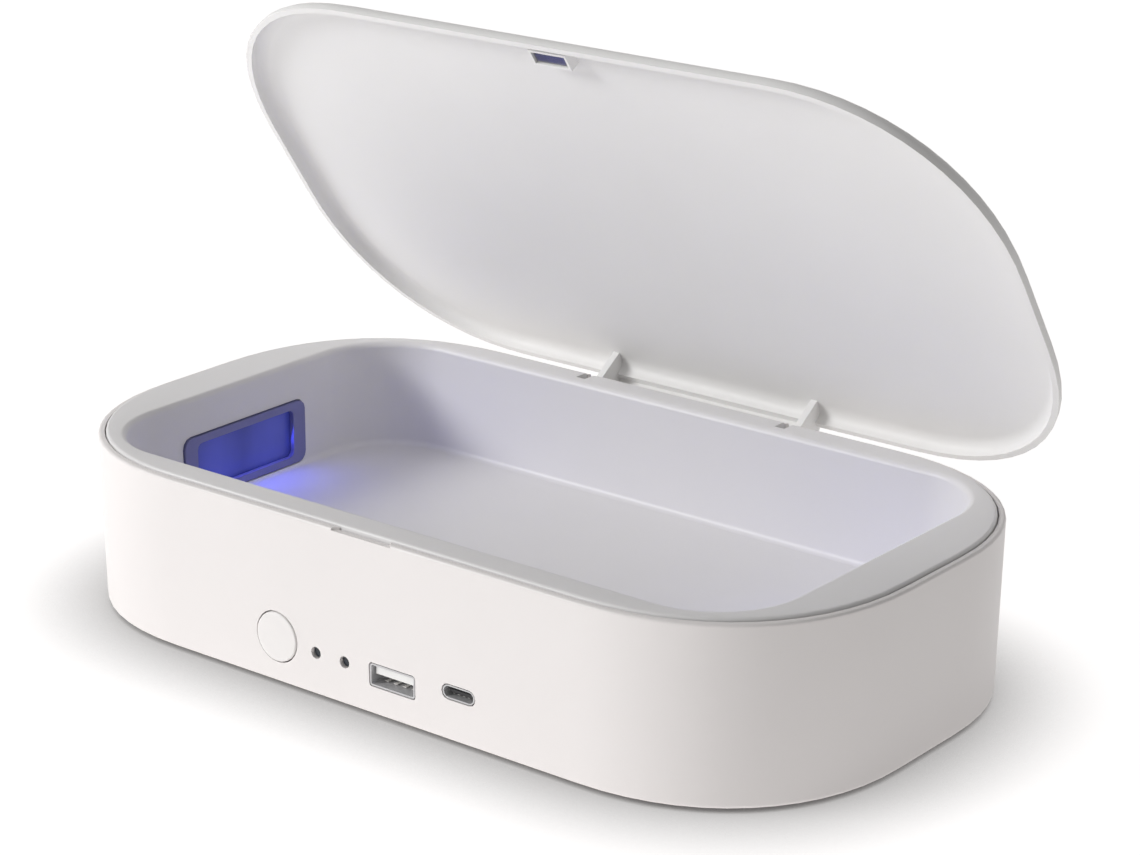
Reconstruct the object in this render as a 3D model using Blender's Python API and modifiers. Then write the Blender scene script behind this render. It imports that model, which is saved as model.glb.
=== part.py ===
"""UV sanitizer box for phones: an oval sleeve round a drawn tray with lamp windows in its end walls,
a charging coil under the tray's floor, and a dished lid that stands open on a friction hinge.

Metres, +Z up, +X to the right of the front, +Y towards the hinge. The origin is on the table that the
feet stand on, under the middle of the open box's length and depth. Heights named below count from the
sleeve's bottom edge, which the feet hold off the table, and depths from the middle of the sleeve.
"""

import math
from collections import namedtuple

import bmesh
import bpy
from mathutils import Vector

# Body
BODY_LENGTH = 0.2200
BODY_WIDTH = 0.1226
BODY_HEIGHT = 0.0419
BODY_CORNER = 0.0506
BODY_EXPONENT = 2.2
SIDE_DRAFT = 0.0007
BOTTOM_ROUND = 0.0010
LIP_ROUND = 0.0007
SHELL_WALL = 0.0026
LEDGE_WIDTH = 0.0015
REBATE_DEPTH = 0.0017
NOTCH_LENGTH = 0.0180
NOTCH_DEPTH = 0.0006

# Clearances
SEAT_GAP = 0.0003
SIDE_GAP = 0.0003
ARM_GAP = 0.0005
PIN_CLEARANCE = 0.0001
BARREL_CLEARANCE = 0.0005

# How far a cutter runs past its faces, and how far a joined face is set back from its neighbour
OVERRUN = 0.0010
STEP_BACK = 0.0002

# Tray
END_RIM = 0.0156
SIDE_RIM = 0.0094
CHAMBER_CORNER = 0.0207
CHAMBER_DRAFT = 0.0007
FLANGE_PROUD = 0.0007
FLANGE_ROUND = 0.0008
RIM_ROUND = 0.0015
TRAY_WALL = 0.0018
FLOOR_HEIGHT = 0.0150
FLOOR_FILLET = 0.0015
BOSS_RADIUS = 0.0035
BOSS_END_INSET = 0.01425
BOSS_SIDE_INSET = 0.0176

# Bottom cover, feet and case screws
COVER_THICKNESS = 0.0020
COVER_LIP = 0.0006
PAD_RADIUS = 0.0080
PAD_HEIGHT = 0.0050
FOOT_RADIUS = 0.0060
FOOT_ROUND = 0.0005
FOOT_PROUD = 0.0010
FOOT_SINK = 0.0012
CASE_HEAD_RADIUS = 0.0025
CASE_HEAD_HEIGHT = 0.0017
CASE_SHANK_RADIUS = 0.0013
CASE_SHANK_LENGTH = 0.0078
CASE_SINK = 0.0034

# Lid, given as it lies closed
LID_HEIGHT = 0.0055
LID_SKIRT = 0.0008
LID_EDGE_REACH = 0.0080
LID_INNER_REACH = 0.0030
LID_CEILING = 0.0020
LID_CROWN = 0.0013
LID_CROWN_SHARES = (0.82, 0.5, 0.18)
CATCH_LENGTH = 0.0108
CATCH_WIDTH = 0.0047
CATCH_WALL = 0.0006
CATCH_GAP = 0.0013
CATCH_LIFT = 0.0007
MAGNET_HEIGHT = 0.0020

# Hinge: its axis lies behind the rear wall, and its arms pass through slots in the rim
HINGE_OUT = 0.00135
HINGE_DROP = 0.0096
OPEN_ANGLE = math.radians(55.7)
BARREL_RADIUS = 0.0032
ARM_X = 0.0303
ARM_THICKNESS = 0.0018
ARM_FRONT_INSET = 0.0057
ARM_TIP_RISE = 0.0044
ARM_TOP_SHARES = (1, 0.6, 0.3, 0.1, 0)
APRON_THICKNESS = 0.0015
APRON_RISE = 0.0020
TROUGH_WALL = 0.0015
STOP_LENGTH = 0.0200
STOP_THICKNESS = 0.0016
STOP_REACH = 0.0054
KNUCKLE_LENGTH = 0.0030
KNUCKLE_TOP_ANGLE = math.radians(141)
KNUCKLE_END_ANGLE = math.radians(-45)
PIN_RADIUS = 0.0012
PIN_IN_BARREL = 0.0078
WASHER_RADIUS = 0.0029
WASHER_THICKNESS = 0.0004

# Main board
BOARD_THICKNESS = 0.0016
BOARD_COIL_GAP = 0.0063
BOARD_LEFT_MARGIN = 0.0117
BOARD_RIGHT_MARGIN = 0.0166
BOARD_STEP = 0.0030
POST_RADIUS = 0.0025
POST_INSET = 0.0035
BOARD_SCREW_HEAD_RADIUS = 0.0020
BOARD_SCREW_HEAD_HEIGHT = 0.0014
BOARD_SCREW_SHANK_RADIUS = 0.0010
BOARD_SCREW_SHANK_LENGTH = 0.0050
CONTROL_CHIP_SIZE = 0.0070
COIL_DRIVER_SIZE = 0.0050
CHIP_THICKNESS = 0.0010

# Button and the side-pushed switch behind it
BUTTON_X = -0.0263
BUTTON_Z = 0.0112
BUTTON_RADIUS = 0.0060
BUTTON_EDGE = 0.0004
BUTTON_PROUD = 0.0003
BUTTON_FLANGE_RADIUS = 0.0070
BUTTON_FLANGE = 0.0008
BUTTON_TRAVEL = 0.0008
STEM_RADIUS = 0.0015
STEM_LENGTH = 0.0019
PLUNGER_RADIUS = 0.0009
PLUNGER_LENGTH = 0.0026
PLUNGER_SHOWS = 0.0012
SWITCH_LENGTH = 0.0060
SWITCH_DEPTH = 0.0035
SWITCH_HEIGHT = 0.0040

# Status lights
LIGHT_X = -0.0101
LIGHT_SPACING = 0.0086
LIGHT_Z = 0.0104
LIGHT_HOLE_RADIUS = 0.00145
LIGHT_RECESS = 0.0008
PIPE_FLANGE_RADIUS = 0.0020
PIPE_FLANGE = 0.0008
STATUS_LED_LENGTH = 0.0016
STATUS_LED_DEPTH = 0.0014
STATUS_LED_HEIGHT = 0.0013

# Sockets: a tongue's lift is the height of its middle over the socket's middle
Socket = namedtuple(
    "Socket",
    "name x z length height corner depth metal recess tongue_length tongue_height tongue_lift base_depth",
)
USB_A = Socket(
    name="usb_a",
    x=0.00825,
    z=0.0097,
    length=0.0130,
    height=0.00525,
    corner=0.0006,
    depth=0.0140,
    metal=0.00035,
    recess=0.0001,
    tongue_length=0.0111,
    tongue_height=0.0018,
    tongue_lift=0.0009,
    base_depth=0.0025,
)
USB_C = Socket(
    name="usb_c",
    x=0.0274,
    z=0.0117,
    length=0.0090,
    height=0.0032,
    corner=0.0016,
    depth=0.0074,
    metal=0.0003,
    recess=0.0001,
    tongue_length=0.0067,
    tongue_height=0.0007,
    tongue_lift=0,
    base_depth=0.0015,
)
TONGUE_RECESS = 0.0010

# Charging coil, its ferrite, the latch plate and the lid sensor under the tray
COIL_OUTER_RADIUS = 0.0250
COIL_INNER_RADIUS = 0.0100
COIL_THICKNESS = 0.0020
COIL_ROUND = 0.0005
FERRITE_MARGIN = 0.0010
FERRITE_THICKNESS = 0.0010
LATCH_LENGTH = 0.0120
LATCH_WIDTH = 0.0040
LATCH_THICKNESS = 0.0010
SENSOR_LENGTH = 0.0060
SENSOR_WIDTH = 0.0030
SENSOR_THICKNESS = 0.0015
SENSOR_SPACING = 0.0120

# Lamp windows in the end walls
WINDOW_LENGTH = 0.0430
WINDOW_LIFT = 0.0011
WINDOW_DROP = 0.0080
WINDOW_CORNER = 0.0025
WINDOW_PROUD = 0.0004
FRAME_SIDE = 0.0043
FRAME_EDGE = 0.0019
FRAME_LIP = 0.0012
FRAME_FLANGE = 0.0015
GLASS_OVERLAP = 0.0010
GLASS_THICKNESS = 0.0012
LAMP_GAP = 0.0003
LAMP_HEIGHT = 0.0012
LAMP_SIZE = 0.0035
LAMP_SPACING = 0.0180
LAMP_BOARD_LENGTH = 0.0400
LAMP_BOARD_THICKNESS = 0.0016
LAMP_BOARD_OVERLAP = 0.0006

# Fineness of the round shapes
ROUND_EXPONENT = 2.0
CORNER_STEPS = 14
SMALL_CORNER_STEPS = 3
EDGE_STEPS = 7
LID_INSIDE_STEPS = 5
ARC_STEPS = 3
SMALL_ARC_STEPS = 2
PROFILE_ARC_STEPS = 12
ROUND_SIDES = 24
SMALL_ROUND_SIDES = 16
CORNER_LIMIT_SHARE = 0.98
SHARP_ANGLE = math.radians(35)
MERGE_DISTANCE = 0.00001

# Places that follow from the sizes
FRONT_Y = -BODY_WIDTH / 2
REAR_Y = BODY_WIDTH / 2
CHAMBER_LENGTH = BODY_LENGTH - 2 * END_RIM
CHAMBER_WIDTH = BODY_WIDTH - 2 * SIDE_RIM
REBATE_Z = BODY_HEIGHT - REBATE_DEPTH
FLANGE_INSET = LEDGE_WIDTH + SIDE_GAP
FLANGE_UNDER = REBATE_Z + SEAT_GAP
FLANGE_TOP = BODY_HEIGHT + FLANGE_PROUD
FLOOR_UNDER = FLOOR_HEIGHT - TRAY_WALL
COVER_SEAT = COVER_THICKNESS + SEAT_GAP
BOSS_X = CHAMBER_LENGTH / 2 - BOSS_END_INSET
BOSS_Y = CHAMBER_WIDTH / 2 - BOSS_SIDE_INSET
BOSS_END = PAD_HEIGHT + SEAT_GAP
CORNER_PLACES = {
    "front_left": (-BOSS_X, -BOSS_Y),
    "front_right": (BOSS_X, -BOSS_Y),
    "rear_left": (-BOSS_X, BOSS_Y),
    "rear_right": (BOSS_X, BOSS_Y),
}
SIDES = {"left": -1, "right": 1}
LID_RIM = BODY_HEIGHT + SEAT_GAP
LID_EDGE_START = LID_RIM + LID_SKIRT
LID_EDGE_TOP = LID_RIM + LID_HEIGHT
LID_EDGE_RISE = LID_EDGE_TOP - LID_EDGE_START
CEILING_Z = LID_EDGE_TOP - LID_CEILING
CEILING_RISE = CEILING_Z - LID_EDGE_START
HINGE_Y = REAR_Y + HINGE_OUT
HINGE_Z = BODY_HEIGHT - HINGE_DROP
ARM_OUTER = ARM_X + ARM_THICKNESS / 2
BARREL_END = ARM_OUTER + STEP_BACK
WASHER_INNER = BARREL_END + SEAT_GAP
KNUCKLE_INNER = WASHER_INNER + WASHER_THICKNESS + SEAT_GAP
KNUCKLE_OUTER = KNUCKLE_INNER + KNUCKLE_LENGTH
BOARD_TOP = USB_C.z - USB_C.height / 2 - SEAT_GAP
BOARD_UNDER = BOARD_TOP - BOARD_THICKNESS
BOARD_LEFT = BUTTON_X - BOARD_LEFT_MARGIN
BOARD_RIGHT = USB_C.x + BOARD_RIGHT_MARGIN
FERRITE_SIZE = 2 * (COIL_OUTER_RADIUS + FERRITE_MARGIN)
BOARD_REAR = -FERRITE_SIZE / 2 - BOARD_COIL_GAP
LIGHT_PLACES = {side: LIGHT_X + sign * LIGHT_SPACING / 2 for side, sign in SIDES.items()}
WINDOW_BOTTOM = FLOOR_HEIGHT + WINDOW_LIFT
WINDOW_TOP = FLANGE_UNDER - WINDOW_DROP
WINDOW_HEIGHT = WINDOW_TOP - WINDOW_BOTTOM
WINDOW_Z = (WINDOW_TOP + WINDOW_BOTTOM) / 2

# Turns that point a shape's own +Z to the front, and its own XY plane to the world's YZ plane
TO_FRONT = (math.pi / 2, 0, 0)
TO_RIGHT = (math.pi / 2, 0, math.pi / 2)
TO_LEFT = (math.pi / 2, 0, -math.pi / 2)

# Finishes: colour, roughness, metallic
WHITE_SHELL = ((0.83, 0.82, 0.81), 0.38, 0)
WHITE_TRAY = ((0.80, 0.79, 0.79), 0.42, 0)
WHITE_COVER = ((0.78, 0.77, 0.76), 0.5, 0)
WHITE_INSERT = ((0.85, 0.85, 0.84), 0.45, 0)
RUBBER_GREY = ((0.16, 0.16, 0.17), 0.85, 0)
STEEL = ((0.62, 0.62, 0.63), 0.3, 1)
SPRING_STEEL = ((0.45, 0.45, 0.47), 0.35, 1)
MAGNET_NICKEL = ((0.3, 0.3, 0.32), 0.35, 1)
CLEAR_PIPE = ((0.12, 0.13, 0.17), 0.2, 0)
SLATE = ((0.1, 0.1, 0.19), 0.4, 0)
BLUE_GLASS = ((0.06, 0.07, 0.38), 0.12, 0)
BOARD_GREEN = ((0.03, 0.18, 0.08), 0.5, 0)
BOARD_WHITE = ((0.7, 0.7, 0.7), 0.5, 0)
CHIP_BLACK = ((0.02, 0.02, 0.02), 0.5, 0)
LED_YELLOW = ((0.75, 0.6, 0.15), 0.3, 0)
COPPER = ((0.65, 0.28, 0.12), 0.35, 1)
FERRITE = ((0.08, 0.08, 0.08), 0.7, 0)


# Scene, collections and objects
def clear_scene():
    for old in list(bpy.data.objects):
        bpy.data.objects.remove(old, do_unlink=True)


def new_collection(name):
    collection = bpy.data.collections.new(name)
    bpy.context.scene.collection.children.link(collection)
    return collection


clear_scene()
PARTS = new_collection("uv_sanitizer_box")
CUTTERS = new_collection("cutters")


def add_empty(name, location, parent=None, turn=(0, 0, 0)):
    empty = bpy.data.objects.new(name, None)
    empty.empty_display_size = BODY_HEIGHT
    empty.location = location
    empty.rotation_euler = turn
    empty.parent = parent
    PARTS.objects.link(empty)
    return empty


HOUSING = add_empty("housing", (0, 0, FOOT_PROUD))
LID_AXIS = add_empty("lid_hinge", (0, HINGE_Y, HINGE_Z), HOUSING, (-OPEN_ANGLE, 0, 0))


def new_material(name, look):
    colour, roughness, metallic = look
    material = bpy.data.materials.new(name)
    material.use_nodes = True
    surface = material.node_tree.nodes["Principled BSDF"]
    surface.inputs["Base Color"].default_value = (*colour, 1)
    surface.inputs["Roughness"].default_value = roughness
    surface.inputs["Metallic"].default_value = metallic
    material.diffuse_color = (*colour, 1)
    return material


def add_object(name, mesh, look=None, location=(0, 0, 0), turn=(0, 0, 0), parent=HOUSING):
    """A piece of the box where it has a look, and otherwise a helper that cuts or joins."""
    obj = bpy.data.objects.new(name, mesh)
    obj.location = location
    obj.rotation_euler = turn
    obj.parent = parent
    if look:
        mesh.materials.append(new_material(name + "_finish", look))
        PARTS.objects.link(obj)
    else:
        obj.hide_render = True
        obj.display_type = "WIRE"
        CUTTERS.objects.link(obj)
    return obj


def combine(target, helper, operation):
    step = target.modifiers.new(helper.name, "BOOLEAN")
    step.operation = operation
    step.solver = "EXACT"
    step.object = helper


def cut(target, helper):
    combine(target, helper, "DIFFERENCE")


def join(target, helper):
    combine(target, helper, "UNION")


def settle_shape(obj):
    """Keeps the cut and turned shape as the object's own mesh, smooth but for its sharp edges."""
    graph = bpy.context.evaluated_depsgraph_get()
    mesh = bpy.data.meshes.new_from_object(obj.evaluated_get(graph))
    mesh.name = obj.name
    obj.modifiers.clear()
    obj.data = mesh
    mesh.shade_smooth()
    mesh.set_sharp_from_angle(angle=SHARP_ANGLE)


# Shapes
def finished_mesh(name, bm):
    bmesh.ops.recalc_face_normals(bm, faces=bm.faces)
    mesh = bpy.data.meshes.new(name)
    bm.to_mesh(mesh)
    bm.free()
    return mesh


def box(name, size, **where):
    bm = bmesh.new()
    bmesh.ops.create_cube(bm, size=1)
    bmesh.ops.scale(bm, vec=size, verts=bm.verts)
    return add_object(name, finished_mesh(name, bm), **where)


def cylinder(name, radius, length, sides=SMALL_ROUND_SIDES, **where):
    bm = bmesh.new()
    bmesh.ops.create_cone(
        bm,
        cap_ends=True,
        segments=sides,
        radius1=radius,
        radius2=radius,
        depth=length,
    )
    return add_object(name, finished_mesh(name, bm), **where)


def plate(name, points, thickness, **where):
    """A flat outline in the shape's own XY plane, thickened evenly to both sides."""
    bm = bmesh.new()
    bm.faces.new([bm.verts.new((x, y, 0)) for x, y in points])
    obj = add_object(name, finished_mesh(name, bm), **where)
    solid = obj.modifiers.new("Thickness", "SOLIDIFY")
    solid.thickness = thickness
    solid.offset = 0
    return obj


def turned(name, profile, ring=False, sides=SMALL_ROUND_SIDES, **where):
    """A profile of (radius, height) points, from the top down, turned about the shape's own Z axis."""
    bm = bmesh.new()
    points = [bm.verts.new((radius, 0, height)) for radius, height in profile]
    for first, second in zip(points, points[1:]):
        bm.edges.new((first, second))
    if ring:
        bm.edges.new((points[-1], points[0]))
    obj = add_object(name, finished_mesh(name, bm), **where)
    screw = obj.modifiers.new("Turn", "SCREW")
    screw.steps = sides
    screw.render_steps = sides
    screw.use_merge_vertices = True
    screw.merge_threshold = MERGE_DISTANCE
    return obj


def loft(name, rings, closed=False, shift=(0, 0, 0), **where):
    """A skin over rings of equally many points. A closed one runs back to its first ring, as a sleeve."""
    bm = bmesh.new()
    rows = [[bm.verts.new(point + Vector(shift)) for point in ring] for ring in rings]
    pairs = list(zip(rows, rows[1:]))
    if closed:
        pairs.append((rows[-1], rows[0]))
    else:
        bm.faces.new(rows[0])
        bm.faces.new(rows[-1])
    for here, there in pairs:
        for i in range(len(here)):
            j = (i + 1) % len(here)
            bm.faces.new((here[i], here[j], there[j], there[i]))
    return add_object(name, finished_mesh(name, bm), **where)


def outline(length, width, corner, z, exponent=ROUND_EXPONENT, steps=SMALL_CORNER_STEPS):
    """Points round an oblong whose corners are superellipse quarters; exponent 2 makes them round."""
    corner = min(corner, CORNER_LIMIT_SHARE * min(length, width) / 2)
    points = []
    for quarter, (x_side, y_side) in enumerate(((1, 1), (-1, 1), (-1, -1), (1, -1))):
        for step in range(steps + 1):
            angle = (quarter + step / steps) * math.pi / 2
            along = abs(math.cos(angle)) ** (2 / exponent)
            across = abs(math.sin(angle)) ** (2 / exponent)
            x = x_side * (length / 2 - corner + corner * along)
            y = y_side * (width / 2 - corner + corner * across)
            points.append(Vector((x, y, z)))
    return points


def body_ring(inset, z, share=1):
    """The body's outline drawn in by the inset, and shrunk to a share of that for the lid's crown."""
    length = (BODY_LENGTH - 2 * inset) * share
    width = (BODY_WIDTH - 2 * inset) * share
    corner = (BODY_CORNER - inset) * share
    return outline(length, width, corner, z, BODY_EXPONENT, CORNER_STEPS)


def chamber_ring(inset, z):
    length = CHAMBER_LENGTH - 2 * inset
    width = CHAMBER_WIDTH - 2 * inset
    return outline(length, width, CHAMBER_CORNER - inset, z, ROUND_EXPONENT, CORNER_STEPS)


def quarter_turn(steps=ARC_STEPS):
    """Sine and cosine of the angles from 0 to 90 degrees, both ends included."""
    angles = [step / steps * math.pi / 2 for step in range(steps + 1)]
    return [(math.sin(angle), math.cos(angle)) for angle in angles]


def arc(radius, start, end, steps=PROFILE_ARC_STEPS):
    angles = [start + (end - start) * step / steps for step in range(steps + 1)]
    return [(radius * math.cos(angle), radius * math.sin(angle)) for angle in angles]


# Where the drafted walls stand at a height
def side_inset(z):
    return SIDE_DRAFT * (1 - z / BODY_HEIGHT)


def front_face(z):
    return FRONT_Y + side_inset(z)


def front_inside(z):
    return front_face(z) + SHELL_WALL


def rear_face(z):
    return REAR_Y - side_inset(z)


def chamber_inset(z):
    return CHAMBER_DRAFT * (FLANGE_TOP - z) / (FLANGE_TOP - FLOOR_HEIGHT)


def chamber_end(z):
    return CHAMBER_LENGTH / 2 - chamber_inset(z)


def lid_place(x, y, z):
    """A place on the closed lid, counted from the hinge axis."""
    return (x, y - HINGE_Y, z - HINGE_Z)


# Outer shell
def shell_rings():
    """Up the outside, over the ledge and the tray's rebate, and down the inside to the cover's seat."""
    rings = []
    for sine, cosine in quarter_turn():
        inset = side_inset(BOTTOM_ROUND) + BOTTOM_ROUND * (1 - sine)
        rings.append(body_ring(inset, BOTTOM_ROUND * (1 - cosine)))
    for sine, cosine in quarter_turn(SMALL_ARC_STEPS):
        inset = side_inset(BODY_HEIGHT) + LIP_ROUND * (1 - cosine)
        rings.append(body_ring(inset, BODY_HEIGHT - LIP_ROUND * (1 - sine)))
    cover_edge = side_inset(0) + BOTTOM_ROUND + COVER_LIP
    rings.append(body_ring(LEDGE_WIDTH, BODY_HEIGHT))
    rings.append(body_ring(LEDGE_WIDTH, REBATE_Z))
    rings.append(body_ring(SHELL_WALL, REBATE_Z))
    rings.append(body_ring(side_inset(COVER_SEAT) + SHELL_WALL, COVER_SEAT))
    rings.append(body_ring(cover_edge, COVER_SEAT))
    rings.append(body_ring(cover_edge, 0))
    return rings


def front_cutter(name, rings_of, x, z):
    """Cuts an outline through the front wall; rings_of gives its ring at a depth."""
    rings = [rings_of(-SHELL_WALL - OVERRUN), rings_of(OVERRUN)]
    return loft(name, rings, location=(x, front_face(z), z), turn=TO_FRONT)


def socket_hole(socket):
    def ring(depth):
        length = socket.length + 2 * SIDE_GAP
        height = socket.height + 2 * SIDE_GAP
        return outline(length, height, socket.corner + SIDE_GAP, depth)

    return front_cutter(socket.name + "_hole", ring, socket.x, socket.z)


def round_hole(name, radius, x, z):
    length = SHELL_WALL + 2 * OVERRUN
    middle = front_face(z) + SHELL_WALL / 2
    return cylinder(name, radius, length, ROUND_SIDES, location=(x, middle, z), turn=TO_FRONT)


def finger_notch():
    """The shallow cut in the front ledge, where a finger finds the lid's edge."""
    width = 2 * (FLANGE_INSET + OVERRUN)
    rings = [outline(NOTCH_LENGTH, width, width, z) for z in (-NOTCH_DEPTH, OVERRUN)]
    return loft("finger_notch", rings, location=(0, FRONT_Y - OVERRUN, BODY_HEIGHT))


def knuckle_outline():
    """The knuckle's round end with a sloping web below it, in Y and Z from the hinge axis."""
    root = -HINGE_OUT - SHELL_WALL / 2
    points = arc(BARREL_RADIUS, KNUCKLE_TOP_ANGLE, KNUCKLE_END_ANGLE)
    last_y, last_z = points[-1]
    points.append((root, last_z - (last_y - root)))
    return [(max(y, root), z) for y, z in points]


def add_hinge_seat(shell):
    """The channel that the lid's barrel turns in, the trough behind it, slots, knuckles and pin bores."""
    channel_radius = BARREL_RADIUS + BARREL_CLEARANCE
    trough_radius = channel_radius + TROUGH_WALL
    chord = -HINGE_OUT - SHELL_WALL / 2
    half_angle = math.acos(-chord / trough_radius)
    segment = arc(trough_radius, math.pi - half_angle, math.pi + half_angle)
    axis = (0, HINGE_Y, HINGE_Z)
    trough_length = 2 * (KNUCKLE_INNER + TROUGH_WALL)
    join(shell, plate("trough", segment, trough_length, location=axis, turn=TO_RIGHT))
    channel_length = 2 * (KNUCKLE_INNER + STEP_BACK)
    channel = cylinder(
        "channel", channel_radius, channel_length, ROUND_SIDES, location=axis, turn=TO_RIGHT
    )
    cut(shell, channel)
    knuckle_x = (KNUCKLE_INNER + KNUCKLE_OUTER) / 2
    for side, sign in SIDES.items():
        name = "knuckle_" + side
        place = (sign * knuckle_x, HINGE_Y, HINGE_Z)
        join(shell, plate(name, knuckle_outline(), KNUCKLE_LENGTH, location=place, turn=TO_RIGHT))
    for side, sign in SIDES.items():
        slot_bottom = HINGE_Z - channel_radius
        slot_top = FLANGE_TOP + OVERRUN
        cut(shell, arm_slot("shell_slot_" + side, sign, slot_bottom, slot_top))
        place = (sign * knuckle_x, HINGE_Y, HINGE_Z)
        bore_length = KNUCKLE_LENGTH + 2 * OVERRUN
        bore_name = "knuckle_bore_" + side
        bore_radius = PIN_RADIUS + PIN_CLEARANCE
        cut(shell, cylinder(bore_name, bore_radius, bore_length, location=place, turn=TO_RIGHT))


def arm_slot(name, sign, bottom, top):
    front = REAR_Y - ARM_FRONT_INSET - ARM_GAP
    back = HINGE_Y + BARREL_RADIUS
    size = (ARM_THICKNESS + 2 * ARM_GAP, back - front, top - bottom)
    place = (sign * ARM_X, (front + back) / 2, (bottom + top) / 2)
    return box(name, size, location=place)


def build_outer_shell():
    shell = loft("outer_shell", shell_rings(), closed=True, look=WHITE_SHELL)
    add_hinge_seat(shell)
    cut(shell, round_hole("button_hole", BUTTON_RADIUS + SIDE_GAP, BUTTON_X, BUTTON_Z))
    for side, x in LIGHT_PLACES.items():
        cut(shell, round_hole("light_hole_" + side, LIGHT_HOLE_RADIUS, x, LIGHT_Z))
    for socket in (USB_A, USB_C):
        cut(shell, socket_hole(socket))
    cut(shell, finger_notch())


# Inner tray
def tray_rings():
    """From the chamber's floor up its wall, over the rim and flange, and down round the outside."""
    wall_base = chamber_inset(FLOOR_HEIGHT + FLOOR_FILLET)
    rings = []
    for sine, cosine in quarter_turn():
        inset = wall_base + FLOOR_FILLET * (1 - sine)
        rings.append(chamber_ring(inset, FLOOR_HEIGHT + FLOOR_FILLET * (1 - cosine)))
    for sine, cosine in quarter_turn():
        rings.append(chamber_ring(-RIM_ROUND * (1 - cosine), FLANGE_TOP - RIM_ROUND * (1 - sine)))
    for sine, cosine in quarter_turn(SMALL_ARC_STEPS):
        inset = FLANGE_INSET + FLANGE_ROUND * (1 - sine)
        rings.append(body_ring(inset, FLANGE_TOP - FLANGE_ROUND * (1 - cosine)))
    rings.append(body_ring(FLANGE_INSET, FLANGE_UNDER))
    rings.append(chamber_ring(chamber_inset(FLANGE_UNDER) - TRAY_WALL, FLANGE_UNDER))
    outer_round = FLOOR_FILLET + TRAY_WALL
    for sine, cosine in quarter_turn(SMALL_ARC_STEPS):
        inset = wall_base - TRAY_WALL + outer_round * (1 - cosine)
        rings.append(chamber_ring(inset, FLOOR_UNDER + outer_round * (1 - sine)))
    return rings


def build_inner_tray():
    tray = loft("inner_tray", tray_rings(), look=WHITE_TRAY)
    boss_top = FLOOR_UNDER + TRAY_WALL / 2
    for corner, (x, y) in CORNER_PLACES.items():
        place = (x, y, (boss_top + BOSS_END) / 2)
        join(tray, cylinder("boss_" + corner, BOSS_RADIUS, boss_top - BOSS_END, location=place))
    bore_top = BOSS_END + CASE_SHANK_LENGTH
    bore_bottom = BOSS_END - OVERRUN
    for corner, (x, y) in CORNER_PLACES.items():
        place = (x, y, (bore_top + bore_bottom) / 2)
        radius = CASE_SHANK_RADIUS + SIDE_GAP
        cut(tray, cylinder("boss_bore_" + corner, radius, bore_top - bore_bottom, location=place))
    for side, sign in SIDES.items():
        cut(tray, window_hole(side, sign))
        cut(tray, arm_slot("flange_slot_" + side, sign, FLANGE_UNDER - OVERRUN, FLANGE_TOP + OVERRUN))


def window_hole(side, sign):
    length = WINDOW_LENGTH + 2 * SIDE_GAP
    height = WINDOW_HEIGHT + 2 * SIDE_GAP
    reach = TRAY_WALL + FLOOR_FILLET + OVERRUN
    rings = [outline(length, height, WINDOW_CORNER + SIDE_GAP, z) for z in (-reach, reach)]
    place = (sign * chamber_end(WINDOW_Z), 0, WINDOW_Z)
    return loft("window_hole_" + side, rings, location=place, turn=TO_RIGHT)


# Bottom cover, feet and case screws
def build_bottom_cover():
    inset = side_inset(0) + BOTTOM_ROUND + COVER_LIP + SIDE_GAP
    rings = [body_ring(inset, 0), body_ring(inset, COVER_THICKNESS)]
    cover = loft("bottom_cover", rings, look=WHITE_COVER)
    root = COVER_THICKNESS / 2
    for corner, (x, y) in CORNER_PLACES.items():
        place = (x, y, (root + PAD_HEIGHT) / 2)
        join(cover, cylinder("pad_" + corner, PAD_RADIUS, PAD_HEIGHT - root, location=place))
    for name, (x, y) in post_places().items():
        top = BOARD_UNDER - SEAT_GAP
        join(cover, cylinder(name, POST_RADIUS, top - root, location=(x, y, (top + root) / 2)))
    for corner, (x, y) in CORNER_PLACES.items():
        foot_seat = FOOT_RADIUS + SIDE_GAP
        cut(cover, blind_bore("foot_seat_" + corner, foot_seat, FOOT_SINK, x, y, ROUND_SIDES))
        cut(cover, blind_bore("head_seat_" + corner, CASE_HEAD_RADIUS + SIDE_GAP, CASE_SINK, x, y))
        reach = PAD_HEIGHT + OVERRUN
        cut(cover, blind_bore("shank_hole_" + corner, CASE_SHANK_RADIUS + SIDE_GAP, reach, x, y))
    for side in SIDES:
        x, y = post_places()["post_rear_" + side]
        top = BOARD_UNDER + OVERRUN
        depth = BOARD_SCREW_SHANK_LENGTH + OVERRUN
        radius = BOARD_SCREW_SHANK_RADIUS + SIDE_GAP
        place = (x, y, top - depth / 2)
        cut(cover, cylinder("post_bore_" + side, radius, depth, location=place))


def blind_bore(name, radius, height, x, y, sides=SMALL_ROUND_SIDES):
    """A bore that comes up from below the cover."""
    place = (x, y, (height - OVERRUN) / 2)
    return cylinder(name, radius, height + OVERRUN, sides, location=place)


def screw_profile(head_radius, head_height, shank_radius, shank_length):
    """A pan head with its shank above it, in height from the head's underside."""
    round_height = head_height / 2
    shoulder = head_radius - round_height
    return [
        (0, head_height + shank_length),
        (shank_radius, head_height + shank_length),
        (shank_radius, head_height),
        (head_radius, head_height),
        (head_radius, round_height),
        (shoulder, 0),
        (0, 0),
    ]


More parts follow.
